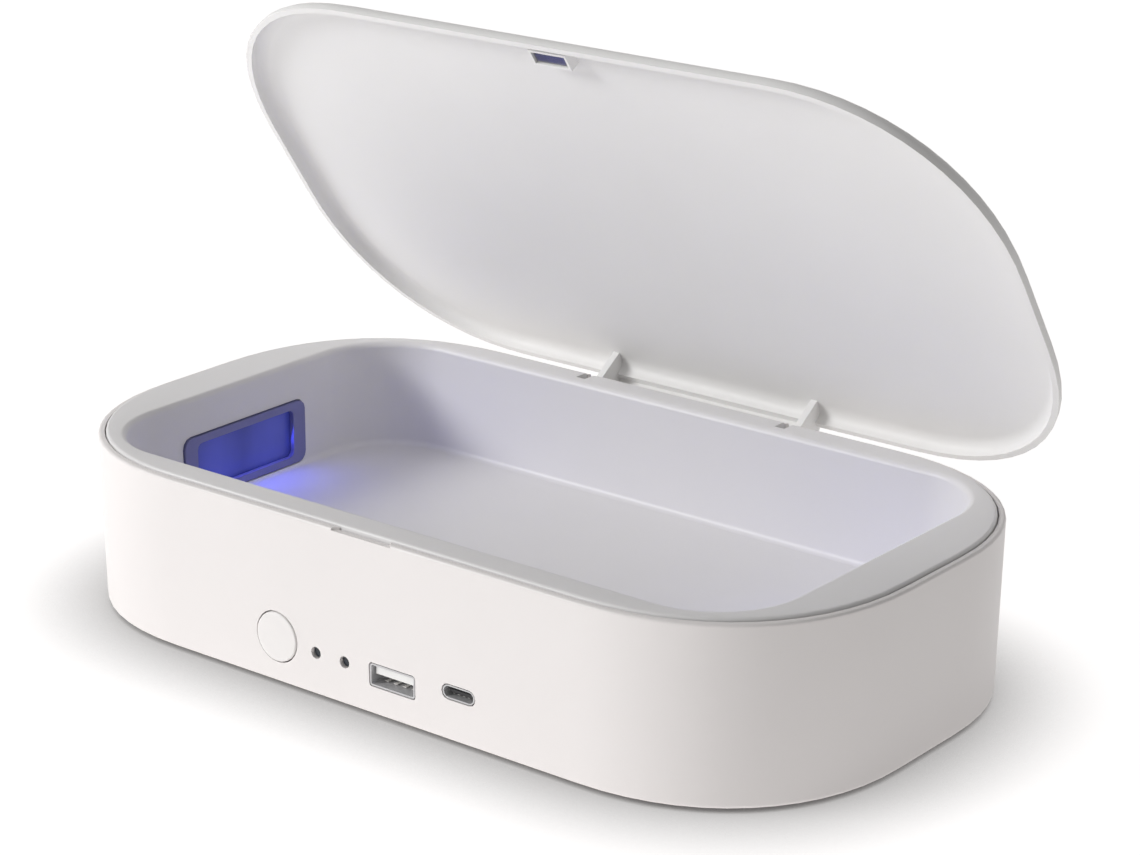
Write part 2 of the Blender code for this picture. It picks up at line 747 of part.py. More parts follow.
def build_feet_and_case_screws():
    top = FOOT_SINK - SEAT_GAP
    bottom = -FOOT_PROUD
    profile = [(0, top), (FOOT_RADIUS, top)]
    for sine, cosine in quarter_turn(SMALL_ARC_STEPS):
        radius = FOOT_RADIUS - FOOT_ROUND * (1 - cosine)
        profile.append((radius, bottom + FOOT_ROUND * (1 - sine)))
    profile.append((0, bottom))
    screw = screw_profile(CASE_HEAD_RADIUS, CASE_HEAD_HEIGHT, CASE_SHANK_RADIUS, CASE_SHANK_LENGTH)
    for corner, (x, y) in CORNER_PLACES.items():
        foot = "foot_" + corner
        turned(foot, profile, sides=ROUND_SIDES, look=RUBBER_GREY, location=(x, y, 0))
        place = (x, y, CASE_SINK - SEAT_GAP - CASE_HEAD_HEIGHT)
        turned("case_screw_" + corner, screw, look=STEEL, location=place)


# Lid
def crown_rings(base_z):
    """Ever smaller copies of the lid's outline, rising to the crown."""
    rings = []
    for share in LID_CROWN_SHARES:
        rings.append(body_ring(LID_EDGE_REACH, base_z + LID_CROWN * (1 - share**2), share))
    return rings


def lid_rings():
    """From the ceiling's middle out, down inside the skirt, round its edge and back over the top."""
    rings = list(reversed(crown_rings(CEILING_Z)))
    for sine, cosine in reversed(quarter_turn(LID_INSIDE_STEPS)):
        inset = LEDGE_WIDTH + LID_INNER_REACH * (1 - cosine)
        rings.append(body_ring(inset, LID_EDGE_START + CEILING_RISE * sine))
    rings.append(body_ring(LEDGE_WIDTH, LID_RIM))
    rings.append(body_ring(0, LID_RIM))
    for sine, cosine in quarter_turn(EDGE_STEPS):
        inset = LID_EDGE_REACH * (1 - cosine)
        rings.append(body_ring(inset, LID_EDGE_START + LID_EDGE_RISE * sine))
    return rings + crown_rings(LID_EDGE_TOP)


def rounded_rise(inset, start, reach, rise):
    """How far a rounded edge has risen at an inset, where it begins at start and ends a reach further."""
    share = min(max((start + reach - inset) / reach, 0), 1)
    return rise * math.sqrt(1 - share**2)


def shell_middle(inset):
    """Y and Z, from the hinge axis, halfway through the lid's skin at an inset from its rear edge."""
    outside = rounded_rise(inset, 0, LID_EDGE_REACH, LID_EDGE_RISE)
    inside = rounded_rise(inset, LEDGE_WIDTH, LID_INNER_REACH, CEILING_RISE)
    middle = LID_EDGE_START + (outside + inside) / 2
    return (REAR_Y - inset - HINGE_Y, middle - HINGE_Z)


def arm_outline():
    """A hinge arm in Y and Z from the hinge axis: a gusset under the ceiling, tapering to the barrel."""
    front = REAR_Y - ARM_FRONT_INSET - HINGE_Y
    back = rear_face(HINGE_Z) + SEAT_GAP + APRON_THICKNESS - STEP_BACK - HINGE_Y
    skirt_inset = LEDGE_WIDTH / 2
    span = ARM_FRONT_INSET - skirt_inset
    rim = LID_RIM + STEP_BACK + SEAT_GAP - HINGE_Z
    return [
        *(shell_middle(skirt_inset + span * share) for share in ARM_TOP_SHARES),
        (shell_middle(skirt_inset)[0], rim),
        (back, rim),
        (back, 0),
        (STEP_BACK - BARREL_RADIUS, 0),
        (front, ARM_TIP_RISE),
    ]


def apron_outline():
    """The strip that hides the gap behind the rear wall, from the barrel up to the lid's skirt."""
    inner = REAR_Y + SEAT_GAP - HINGE_Y
    outer = inner + APRON_THICKNESS
    skirt_y, _ = shell_middle(LEDGE_WIDTH / 2)
    rim = LID_RIM - HINGE_Z
    top = rim + APRON_RISE
    return [
        (inner, 0),
        (inner, rim),
        (skirt_y, rim + STEP_BACK),
        (skirt_y, top),
        (inner, top),
        (outer, top - APRON_THICKNESS),
        (outer, 0),
    ]


def stop_rail():
    """The rail that meets the rear wall when the lid stands open."""
    height = STOP_REACH - BARREL_RADIUS / 2
    size = (STOP_LENGTH, STOP_THICKNESS, height)
    z = HINGE_Z - STOP_REACH + height / 2
    y = rear_face(HINGE_Z - BARREL_RADIUS) + SEAT_GAP + STOP_THICKNESS / 2
    return box("stop_rail", size, location=(0, y, z))


def catch_box():
    """The hollow block inside the lid's front edge that holds the magnet."""
    front = FRONT_Y + LEDGE_WIDTH + CATCH_GAP
    bottom = LID_RIM + CATCH_LIFT
    top = CEILING_Z + STEP_BACK
    size = (CATCH_LENGTH, CATCH_WIDTH, top - bottom)
    place = lid_place(0, front + CATCH_WIDTH / 2, (top + bottom) / 2)
    block = box("catch_box", size, location=place, parent=LID_AXIS)
    low = bottom - OVERRUN
    hollow_size = (CATCH_LENGTH - 2 * CATCH_WALL, CATCH_WIDTH - 2 * CATCH_WALL, CEILING_Z - low)
    hollow_place = lid_place(0, front + CATCH_WIDTH / 2, (CEILING_Z + low) / 2)
    hollow = box("catch_hollow", hollow_size, location=hollow_place, parent=LID_AXIS)
    return block, hollow


def build_lid():
    shift = lid_place(0, 0, 0)
    lid = loft("lid", lid_rings(), shift=shift, look=WHITE_SHELL, parent=LID_AXIS)
    turn = {"turn": TO_RIGHT, "parent": LID_AXIS}
    for side, sign in SIDES.items():
        place = (sign * ARM_X, 0, 0)
        join(lid, plate("arm_" + side, arm_outline(), ARM_THICKNESS, location=place, **turn))
    join(lid, plate("apron", apron_outline(), 2 * (ARM_OUTER - STEP_BACK), **turn))
    join(lid, cylinder("barrel", BARREL_RADIUS, 2 * BARREL_END, ROUND_SIDES, **turn))
    join(lid, stop_rail())
    for side, sign in SIDES.items():
        depth = PIN_IN_BARREL + SEAT_GAP + OVERRUN
        place = (sign * (BARREL_END + OVERRUN - depth / 2), 0, 0)
        radius = PIN_RADIUS + PIN_CLEARANCE
        cut(lid, cylinder("barrel_bore_" + side, radius, depth, location=place, **turn))
    block, hollow = catch_box()
    join(lid, block)
    cut(lid, hollow)


def build_lid_magnet():
    length = CATCH_LENGTH - 2 * (CATCH_WALL + SIDE_GAP)
    width = CATCH_WIDTH - 2 * (CATCH_WALL + SIDE_GAP)
    y = FRONT_Y + LEDGE_WIDTH + CATCH_GAP + CATCH_WIDTH / 2
    place = lid_place(0, y, CEILING_Z - SEAT_GAP - MAGNET_HEIGHT / 2)
    size = (length, width, MAGNET_HEIGHT)
    box("lid_magnet", size, look=MAGNET_NICKEL, location=place, parent=LID_AXIS)


# Hinge pins and the washers that hold the lid by friction
def build_hinge_pins_and_washers():
    inner = BARREL_END - PIN_IN_BARREL
    outer = KNUCKLE_OUTER - STEP_BACK
    bore = PIN_RADIUS + SIDE_GAP
    half = WASHER_THICKNESS / 2
    ring = [(WASHER_RADIUS, half), (WASHER_RADIUS, -half), (bore, -half), (bore, half)]
    for side, sign in SIDES.items():
        pin_place = (sign * (inner + outer) / 2, HINGE_Y, HINGE_Z)
        pin_name = "hinge_pin_" + side
        cylinder(pin_name, PIN_RADIUS, outer - inner, look=STEEL, location=pin_place, turn=TO_RIGHT)
        place = (sign * (WASHER_INNER + half), HINGE_Y, HINGE_Z)
        name = "hinge_washer_" + side
        turned(name, ring, ring=True, look=SPRING_STEEL, location=place, turn=TO_RIGHT)


# Main board
def board_front():
    return front_inside(BOARD_UNDER) + SEAT_GAP


def switch_front():
    """Where the switch's body begins behind the button's stem and the plunger."""
    flange = front_inside(BUTTON_Z) + SEAT_GAP
    return flange + BUTTON_FLANGE + STEM_LENGTH + SEAT_GAP + PLUNGER_SHOWS


def post_places():
    front = board_front() + BOARD_STEP + POST_INSET
    rear = BOARD_REAR - POST_INSET
    left = BOARD_LEFT + POST_INSET
    right = BOARD_RIGHT - POST_INSET
    return {
        "post_front_left": (left, front),
        "post_front_right": (right, front),
        "post_rear_left": (left, rear),
        "post_rear_right": (right, rear),
    }


def board_outline():
    """The board seen from above, with bays for the button, the switch and the larger socket."""
    front = board_front()
    stepped = front + BOARD_STEP
    switch_left = BUTTON_X - SWITCH_LENGTH / 2 - SIDE_GAP
    switch_right = BUTTON_X + SWITCH_LENGTH / 2 + SIDE_GAP
    switch_back = switch_front() + SWITCH_DEPTH + SIDE_GAP
    socket_left = USB_A.x - USB_A.length / 2 - SIDE_GAP
    socket_right = USB_A.x + USB_A.length / 2 + SIDE_GAP
    socket_back = front_face(USB_A.z) + USB_A.recess + USB_A.depth + SIDE_GAP
    return [
        (BOARD_LEFT, BOARD_REAR),
        (BOARD_LEFT, stepped),
        (switch_left, stepped),
        (switch_left, switch_back),
        (switch_right, switch_back),
        (switch_right, stepped),
        (socket_left, stepped),
        (socket_left, socket_back),
        (socket_right, socket_back),
        (socket_right, front),
        (BOARD_RIGHT, front),
        (BOARD_RIGHT, BOARD_REAR),
    ]


def build_main_board():
    middle = (BOARD_TOP + BOARD_UNDER) / 2
    place = (0, 0, middle)
    board = plate("main_board", board_outline(), BOARD_THICKNESS, look=BOARD_GREEN, location=place)
    head = BOARD_SCREW_HEAD_HEIGHT
    shank_radius = BOARD_SCREW_SHANK_RADIUS
    shank_length = BOARD_SCREW_SHANK_LENGTH
    profile = screw_profile(BOARD_SCREW_HEAD_RADIUS, head, shank_radius, shank_length)
    upside_down = (math.pi, 0, 0)
    for side in SIDES:
        x, y = post_places()["post_rear_" + side]
        length = BOARD_THICKNESS + 2 * OVERRUN
        hole = cylinder("board_hole_" + side, shank_radius + SIDE_GAP, length, location=(x, y, middle))
        cut(board, hole)
        top = (x, y, BOARD_TOP + SEAT_GAP + head)
        turned("board_screw_" + side, profile, look=STEEL, location=top, turn=upside_down)
    lights_back = board_front() + BOARD_STEP + STATUS_LED_DEPTH
    chip_y = (lights_back + BOARD_REAR) / 2
    on_board = BOARD_TOP + SEAT_GAP + CHIP_THICKNESS / 2
    chips = {
        "control_chip": (CONTROL_CHIP_SIZE, LIGHT_X),
        "coil_driver": (COIL_DRIVER_SIZE, USB_C.x),
    }
    for name, (size, x) in chips.items():
        place = (x, chip_y, on_board)
        box(name, (size, size, CHIP_THICKNESS), look=CHIP_BLACK, location=place)


# Power button, its switch and the status lights, each with its own +Z pointing out of the front
def build_power_button():
    """The cap and its stem, with the origin on the front wall's face and on the line of travel."""
    flange = -SHELL_WALL - SEAT_GAP
    back = flange - BUTTON_FLANGE
    end = back - STEM_LENGTH
    profile = [(0, BUTTON_PROUD)]
    for sine, cosine in quarter_turn(SMALL_ARC_STEPS):
        radius = BUTTON_RADIUS - BUTTON_EDGE * (1 - sine)
        profile.append((radius, BUTTON_PROUD - BUTTON_EDGE * (1 - cosine)))
    profile += [
        (BUTTON_RADIUS, flange),
        (BUTTON_FLANGE_RADIUS, flange),
        (BUTTON_FLANGE_RADIUS, back),
        (STEM_RADIUS, back),
        (STEM_RADIUS, end),
        (0, end),
    ]
    place = (BUTTON_X, front_face(BUTTON_Z), BUTTON_Z)
    where = {"location": place, "turn": TO_FRONT}
    turned("power_button", profile, sides=ROUND_SIDES, look=WHITE_SHELL, **where)


def build_switch():
    front = switch_front()
    plunger_y = front - PLUNGER_SHOWS + PLUNGER_LENGTH / 2
    place = (BUTTON_X, plunger_y, BUTTON_Z)
    plunger_name = "switch_plunger"
    cylinder(
        plunger_name, PLUNGER_RADIUS, PLUNGER_LENGTH, look=CHIP_BLACK, location=place, turn=TO_FRONT
    )
    size = (SWITCH_LENGTH, SWITCH_DEPTH, SWITCH_HEIGHT)
    place = (BUTTON_X, front + SWITCH_DEPTH / 2, BUTTON_Z)
    body = box("switch_body", size, look=CHIP_BLACK, location=place)
    inside = PLUNGER_LENGTH - PLUNGER_SHOWS + BUTTON_TRAVEL + SEAT_GAP
    length = inside + OVERRUN
    bore_place = (BUTTON_X, front + inside - length / 2, BUTTON_Z)
    radius = PLUNGER_RADIUS + SIDE_GAP
    cut(body, cylinder("plunger_bore", radius, length, location=bore_place, turn=TO_FRONT))


def build_status_lights():
    flange = -SHELL_WALL - SEAT_GAP
    face = front_face(LIGHT_Z)
    led_front = board_front() + BOARD_STEP
    end = face - led_front + SEAT_GAP
    radius = LIGHT_HOLE_RADIUS - SIDE_GAP
    profile = [
        (0, -LIGHT_RECESS),
        (radius, -LIGHT_RECESS),
        (radius, flange),
        (PIPE_FLANGE_RADIUS, flange),
        (PIPE_FLANGE_RADIUS, flange - PIPE_FLANGE),
        (radius, flange - PIPE_FLANGE),
        (radius, end),
        (0, end),
    ]
    size = (STATUS_LED_LENGTH, STATUS_LED_DEPTH, STATUS_LED_HEIGHT)
    for side, x in LIGHT_PLACES.items():
        place = (x, face, LIGHT_Z)
        turned("light_pipe_" + side, profile, look=CLEAR_PIPE, location=place, turn=TO_FRONT)
        led_place = (
            x,
            led_front + STATUS_LED_DEPTH / 2,
            BOARD_TOP + SEAT_GAP + STATUS_LED_HEIGHT / 2,
        )
        box("status_led_" + side, size, look=LED_YELLOW, location=led_place)


# Sockets
def build_socket(socket):
    """A metal sleeve with a moulded tongue that stands on a block in its far end."""
    def ring(wall, depth):
        length = socket.length - 2 * wall
        height = socket.height - 2 * wall
        return outline(length, height, max(socket.corner - wall, socket.metal), depth)

    front = -socket.recess
    back = front - socket.depth
    rings = [ring(0, front), ring(0, back), ring(socket.metal, back), ring(socket.metal, front)]
    where = {"location": (socket.x, front_face(socket.z), socket.z), "turn": TO_FRONT}
    loft(socket.name + "_shell", rings, closed=True, look=STEEL, **where)
    room = socket.metal + SIDE_GAP
    base = [ring(room, back), ring(room, back + socket.base_depth)]
    look = WHITE_INSERT if socket is USB_A else CHIP_BLACK
    tongue = loft(socket.name + "_tongue", base, look=look, **where)
    root = back + socket.base_depth / 2
    tip = front - TONGUE_RECESS
    size = (socket.tongue_length, tip - root, socket.tongue_height)
    middle = front_face(socket.z) - (root + tip) / 2
    place = (socket.x, middle, socket.z + socket.tongue_lift)
    join(tongue, box(socket.name + "_tongue_bar", size, location=place))


# Charging coil, latch plate and lid sensor under the tray
def build_under_tray():
    coil_top = FLOOR_UNDER - SEAT_GAP
    coil_end = coil_top - COIL_THICKNESS
    coil = [
        (COIL_OUTER_RADIUS - COIL_ROUND, coil_top),
        (COIL_OUTER_RADIUS, coil_top - COIL_ROUND),
        (COIL_OUTER_RADIUS, coil_end + COIL_ROUND),
        (COIL_OUTER_RADIUS - COIL_ROUND, coil_end),
        (COIL_INNER_RADIUS + COIL_ROUND, coil_end),
        (COIL_INNER_RADIUS, coil_end + COIL_ROUND),
        (COIL_INNER_RADIUS, coil_top - COIL_ROUND),
        (COIL_INNER_RADIUS + COIL_ROUND, coil_top),
    ]
    turned("charging_coil", coil, ring=True, sides=ROUND_SIDES, look=COPPER)
    ferrite = (FERRITE_SIZE, FERRITE_SIZE, FERRITE_THICKNESS)
    ferrite_z = coil_end - SEAT_GAP - FERRITE_THICKNESS / 2
    box("ferrite_plate", ferrite, look=FERRITE, location=(0, 0, ferrite_z))
    tray_side = -CHAMBER_WIDTH / 2 - TRAY_WALL
    middle = (tray_side + FRONT_Y + SHELL_WALL) / 2
    hung = FLANGE_UNDER - SEAT_GAP
    latch = (LATCH_LENGTH, LATCH_WIDTH, LATCH_THICKNESS)
    box("latch_plate", latch, look=STEEL, location=(0, middle, hung - LATCH_THICKNESS / 2))
    sensor = (SENSOR_LENGTH, SENSOR_WIDTH, SENSOR_THICKNESS)
    sensor_place = (-SENSOR_SPACING, middle, hung - SENSOR_THICKNESS / 2)
    box("lid_sensor", sensor, look=CHIP_BLACK, location=sensor_place)


# Lamp windows: each frame's own +Z points into the chamber
def window_face():
    return chamber_end(WINDOW_Z) - WINDOW_PROUD


def frame_flange_front():
    """The frame's rear flange bears on the tray wall's outside, at its farthest."""
    return -(chamber_end(WINDOW_TOP) + TRAY_WALL + SEAT_GAP - window_face())


def frame_rings():
    flange_front = frame_flange_front()
    back = flange_front - FRAME_FLANGE
    opening_length = WINDOW_LENGTH - 2 * FRAME_SIDE
    opening_height = WINDOW_HEIGHT - 2 * FRAME_EDGE
    opening_corner = WINDOW_CORNER - FRAME_EDGE / 2
    pocket_length = opening_length + 2 * (GLASS_OVERLAP + SIDE_GAP)
    pocket_height = opening_height + 2 * (GLASS_OVERLAP + SIDE_GAP)
    flange_length = WINDOW_LENGTH + 2 * FRAME_FLANGE
    flange_height = WINDOW_HEIGHT + 2 * FRAME_FLANGE
    flange_corner = WINDOW_CORNER + FRAME_FLANGE
    return [
        outline(WINDOW_LENGTH, WINDOW_HEIGHT, WINDOW_CORNER, 0),
        outline(WINDOW_LENGTH, WINDOW_HEIGHT, WINDOW_CORNER, flange_front),
        outline(flange_length, flange_height, flange_corner, flange_front),
        outline(flange_length, flange_height, flange_corner, back),
        outline(pocket_length, pocket_height, opening_corner, back),
        outline(pocket_length, pocket_height, opening_corner, -FRAME_LIP),
        outline(opening_length, opening_height, opening_corner, -FRAME_LIP),
        outline(opening_length, opening_height, opening_corner, 0),
    ]


def build_lamp_window(side, sign):
    turn = TO_LEFT if sign > 0 else TO_RIGHT
    face = window_face()

    def place(y, depth):
        return (sign * (face - depth), y, WINDOW_Z)

    where = {"location": place(0, 0), "turn": turn}
    loft("uv_bezel_" + side, frame_rings(), closed=True, look=SLATE, **where)
    length = WINDOW_LENGTH - 2 * FRAME_SIDE + 2 * GLASS_OVERLAP
    height = WINDOW_HEIGHT - 2 * FRAME_EDGE + 2 * GLASS_OVERLAP
    corner = WINDOW_CORNER - FRAME_EDGE / 2
    glass_front = -FRAME_LIP - SEAT_GAP
    glass_back = glass_front - GLASS_THICKNESS
    glass = [outline(length, height, corner, z) for z in (glass_back, glass_front)]
    loft("uv_window_" + side, glass, look=BLUE_GLASS, **where)
    board_front_z = frame_flange_front() - FRAME_FLANGE - SEAT_GAP
    board_z = board_front_z - LAMP_BOARD_THICKNESS / 2
    pocket_height = height + 2 * SIDE_GAP
    size = (LAMP_BOARD_THICKNESS, LAMP_BOARD_LENGTH, pocket_height + 2 * LAMP_BOARD_OVERLAP)
    box("uv_board_" + side, size, look=BOARD_WHITE, location=place(0, board_z))
    lamp_z = board_front_z + LAMP_GAP + LAMP_HEIGHT / 2
    lamp = (LAMP_HEIGHT, LAMP_SIZE, LAMP_SIZE)
    for end, along in (("front", -1), ("rear", 1)):
        name = f"uv_led_{side}_{end}"
        box(name, lamp, look=LED_YELLOW, location=place(along * LAMP_SPACING / 2, lamp_z))


def centre_on_origin(solids):
    """Puts the middle of the open box's own length and depth over the origin."""
    depths = [(obj.matrix_world @ vertex.co).y for obj in solids for vertex in obj.data.vertices]
    HOUSING.location.y -= (min(depths) + max(depths)) / 2
    bpy.context.view_layer.update()


def build_box():
    build_outer_shell()
    build_inner_tray()
    build_bottom_cover()
    build_feet_and_case_screws()
    build_lid()
    build_lid_magnet()
    build_hinge_pins_and_washers()
    build_main_board()
    build_power_button()
    build_switch()
    build_status_lights()
    for socket in (USB_A, USB_C):
        build_socket(socket)
    build_under_tray()
    for side, sign in SIDES.items():
        build_lamp_window(side, sign)
    bpy.context.view_layer.update()
    solids = [obj for obj in PARTS.objects if obj.type == "MESH"]
    for obj in solids:
        settle_shape(obj)
    centre_on_origin(solids)


build_box()
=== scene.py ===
"""Looks of the UV sanitizer box for phones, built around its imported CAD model."""

import math

import bmesh
import bpy
from mathutils import Matrix, Vector


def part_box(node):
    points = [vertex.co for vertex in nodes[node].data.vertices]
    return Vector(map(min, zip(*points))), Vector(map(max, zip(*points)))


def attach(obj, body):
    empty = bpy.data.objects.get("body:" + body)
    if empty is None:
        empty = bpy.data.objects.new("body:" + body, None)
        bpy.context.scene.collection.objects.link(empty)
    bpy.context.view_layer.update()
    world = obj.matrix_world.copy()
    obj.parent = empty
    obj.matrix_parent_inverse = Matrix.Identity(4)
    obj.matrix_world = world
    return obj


MM = 0.001

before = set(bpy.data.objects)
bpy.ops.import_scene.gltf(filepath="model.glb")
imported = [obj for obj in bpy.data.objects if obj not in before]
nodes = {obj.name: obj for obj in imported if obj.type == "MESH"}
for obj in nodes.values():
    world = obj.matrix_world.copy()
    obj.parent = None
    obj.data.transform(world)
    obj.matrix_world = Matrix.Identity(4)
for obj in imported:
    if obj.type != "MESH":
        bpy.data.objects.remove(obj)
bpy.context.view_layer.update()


# Node trees

def new_material(name):
    """A node material, its tree and its Principled shader."""
    material = bpy.data.materials.new(name)
    material.use_nodes = True
    return material, material.node_tree, material.node_tree.nodes["Principled BSDF"]


def node(tree, kind, **settings):
    """One shader node with its settings."""
    made = tree.nodes.new(kind)
    for key, value in settings.items():
        setattr(made, key, value)
    return made


def feed(tree, socket, value):
    """Links an output to a socket, or sets the socket to a number or vector."""
    if isinstance(value, bpy.types.NodeSocket):
        tree.links.new(value, socket)
    else:
        socket.default_value = value


def maths(tree, operation, *values):
    """A Math node of outputs or numbers."""
    made = node(tree, "ShaderNodeMath", operation=operation)
    for socket, value in zip(made.inputs, values):
        feed(tree, socket, value)
    return made.outputs["Value"]


def vectors(tree, operation, *values, result="Vector"):
    """A Vector Math node of outputs or vectors."""
    made = node(tree, "ShaderNodeVectorMath", operation=operation)
    for socket, value in zip(made.inputs, values):
        feed(tree, socket, value)
    return made.outputs[result]


def remap(tree, value, low, high, start=0.0, end=1.0, **settings):
    """A value that goes from low to high as the input goes from start to end."""
    made = node(tree, "ShaderNodeMapRange", **settings)
    feed(tree, made.inputs["Value"], value)
    feed(tree, made.inputs["From Min"], start)
    feed(tree, made.inputs["From Max"], end)
    feed(tree, made.inputs["To Min"], low)
    feed(tree, made.inputs["To Max"], high)
    return made.outputs["Result"]


def either(tree, factor, first, second):
    """The first value where the factor is 0 and the second where it is 1."""
    made = node(tree, "ShaderNodeMix", data_type="FLOAT")
    feed(tree, made.inputs["Factor"], factor)
    feed(tree, made.inputs["A"], first)
    feed(tree, made.inputs["B"], second)
    return made.outputs["Result"]


def along_x(tree, vector):
    """The X part of a vector."""
    made = node(tree, "ShaderNodeSeparateXYZ")
    feed(tree, made.inputs["Vector"], vector)
    return made.outputs["X"]


def noise(tree, coordinates, scale, detail=2.0, squeeze=None):
    """Noise with a number of grains per metre, squeezed by a factor along each axis where asked."""
    if squeeze:
        mapping = node(tree, "ShaderNodeMapping")
        feed(tree, mapping.inputs["Scale"], squeeze)
        feed(tree, mapping.inputs["Vector"], coordinates)
        coordinates = mapping.outputs["Vector"]
    made = node(tree, "ShaderNodeTexNoise")
    feed(tree, made.inputs["Scale"], scale)
    feed(tree, made.inputs["Detail"], detail)
    feed(tree, made.inputs["Vector"], coordinates)
    return made.outputs["Fac"]


TINT_SPAN = (0.3, 0.7)


def tint(tree, factor, *colours):
    """Goes from one colour to the other over the middle of the factor."""
    made = node(tree, "ShaderNodeValToRGB")
    for element, place, colour in zip(made.color_ramp.elements, TINT_SPAN, colours):
        element.position = place
        element.color = (*colour, 1.0)
    feed(tree, made.inputs["Fac"], factor)
    return made.outputs["Color"]


def shade(colour, share):
    """A colour made lighter or darker by a share."""
    return tuple(min(1.0, max(0.0, part * (1 + share))) for part in colour)


SLOW_SCALE, SLOW_DETAIL, SLOW_SHARE = 17.0, 3.0, 0.75
FINE_DETAIL, FINE_SHARE = 3.0, 0.25
SMEAR_SCALE, SMEAR_DETAIL, SMEAR_SQUEEZE = 60.0, 4.0, (1.0, 2.6, 1.4)
BUMP_STRENGTH = 0.35


def grained(name, colour, roughness, grain=3200, depth=0.012, drift=0.02, spread=0.05, **constants):
    """Moulded or cast material: slow colour drift, fine grain of a depth in mm, uneven gloss."""
    material, tree, shader = new_material(name)
    place = node(tree, "ShaderNodeTexCoord").outputs["Object"]
    slow = noise(tree, place, SLOW_SCALE, SLOW_DETAIL)
    fine = noise(tree, place, grain, FINE_DETAIL)
    smear = noise(tree, place, SMEAR_SCALE, SMEAR_DETAIL, SMEAR_SQUEEZE)
    slow_part = maths(tree, "MULTIPLY", slow, SLOW_SHARE)
    fine_part = maths(tree, "MULTIPLY", fine, FINE_SHARE)
    mottle = maths(tree, "ADD", slow_part, fine_part)
    feed(tree, shader.inputs["Base Color"], tint(tree, mottle, shade(colour, -drift), shade(colour, drift)))
    uneven = maths(tree, "MULTIPLY", maths(tree, "ADD", smear, fine), 0.5)
    feed(tree, shader.inputs["Roughness"], remap(tree, uneven, roughness - spread, roughness + spread))
    bump = node(tree, "ShaderNodeBump")
    feed(tree, bump.inputs["Strength"], BUMP_STRENGTH)
    feed(tree, bump.inputs["Distance"], depth * MM)
    feed(tree, bump.inputs["Height"], fine)
    feed(tree, shader.inputs["Normal"], bump.outputs["Normal"])
    for key, value in constants.items():
        shader.inputs[key.replace("_", " ")].default_value = value
    return material


# Smooth shading

WELD_DISTANCE = 0.001 * MM
SMOOTH_ANGLE = math.radians(50)


def smoothing_group():
    """Joins the split corners of a node's mesh and shades it smooth up to an angle."""
    group = bpy.data.node_groups.new("smooth_by_angle", "GeometryNodeTree")
    group.interface.new_socket("Geometry", in_out="INPUT", socket_type="NodeSocketGeometry")
    group.interface.new_socket("Geometry", in_out="OUTPUT", socket_type="NodeSocketGeometry")
    start = node(group, "NodeGroupInput")
    end = node(group, "NodeGroupOutput")
    merge = node(group, "GeometryNodeMergeByDistance")
    feed(group, merge.inputs["Distance"], WELD_DISTANCE)
    drop = node(group, "GeometryNodeRemoveAttribute")
    feed(group, drop.inputs["Name"], "custom_normal")
    faces = node(group, "GeometryNodeSetShadeSmooth", domain="FACE")
    edges = node(group, "GeometryNodeSetShadeSmooth", domain="EDGE")
    angle = node(group, "GeometryNodeInputMeshEdgeAngle")
    small = node(group, "FunctionNodeCompare", operation="LESS_THAN")
    feed(group, small.inputs["A"], angle.outputs["Unsigned Angle"])
    feed(group, small.inputs["B"], SMOOTH_ANGLE)
    feed(group, edges.inputs["Shade Smooth"], small.outputs["Result"])
    geometry = start.outputs[0]
    for step in (merge, drop, faces, edges):
        feed(group, step.inputs["Geometry"], geometry)
        geometry = step.outputs["Geometry"]
    feed(group, end.inputs[0], geometry)
    return group


SMOOTHING = smoothing_group()


def dress(name, material):
    """Gives a CAD node its material and smooth shading."""
    piece = nodes[name]
    piece.data.materials.clear()
    piece.data.materials.append(material)
    smooth = piece.modifiers.new("smooth", "NODES")
    smooth.node_group = SMOOTHING
    weighted = piece.modifiers.new("weighted", "WEIGHTED_NORMAL")
    weighted.keep_sharp = True


# Materials

SHELL = grained("shell_plastic", (0.83, 0.80, 0.79), 0.42)
# The tray's colour is a little darker than the shell's, as painted shade that darkens the chamber
TRAY = grained("tray_plastic", (0.79, 0.78, 0.78), 0.4, Specular_IOR_Level=0.45)
# The lid's colour is lighter than the shell's, as painted light that brightens the inside of the open lid
LID = grained("lid_plastic", (0.90, 0.895, 0.885), 0.48, Specular_IOR_Level=0.35)
BUTTON = grained("button_plastic", (0.84, 0.82, 0.81), 0.33, grain=4200)
COVER = grained("cover_plastic", (0.78, 0.76, 0.755), 0.55, grain=1800, depth=0.03)
INSERT = grained("insert_plastic", (0.85, 0.85, 0.84), 0.3)
RUBBER = grained("foot_rubber", (0.16, 0.16, 0.17), 0.8, grain=2400, depth=0.05, drift=0.12)
STEEL = grained("plated_steel", (0.62, 0.62, 0.63), 0.3, grain=5000, drift=0.06, Metallic=1.0)
NICKEL = grained("nickel", (0.3, 0.3, 0.32), 0.26, grain=5000, drift=0.06, Metallic=1.0)
SOCKET = grained("socket_steel", (0.6, 0.6, 0.61), 0.45, grain=5000, drift=0.06, Metallic=0.45)
PLATED = grained("plated_contact", (0.86, 0.84, 0.8), 0.35, grain=5000, drift=0.05, Metallic=0.2)
SMOKED = grained("smoked_plastic", (0.02, 0.025, 0.035), 0.12, drift=0.1)
SLATE = grained("slate_plastic", (0.19, 0.195, 0.40), 0.4)
BLACK = grained("black_plastic", (0.02, 0.02, 0.022), 0.45, drift=0.15)
LAMP = grained("lamp_lens", (0.75, 0.6, 0.15), 0.2, drift=0.08)
BOARD = grained("board_mask", (0.03, 0.18, 0.08), 0.35, drift=0.15)
COPPER = grained("coil_wire", (0.65, 0.28, 0.12), 0.3, drift=0.1, Metallic=1.0)
FERRITE = grained("ferrite_sheet", (0.08, 0.08, 0.08), 0.7, drift=0.15)
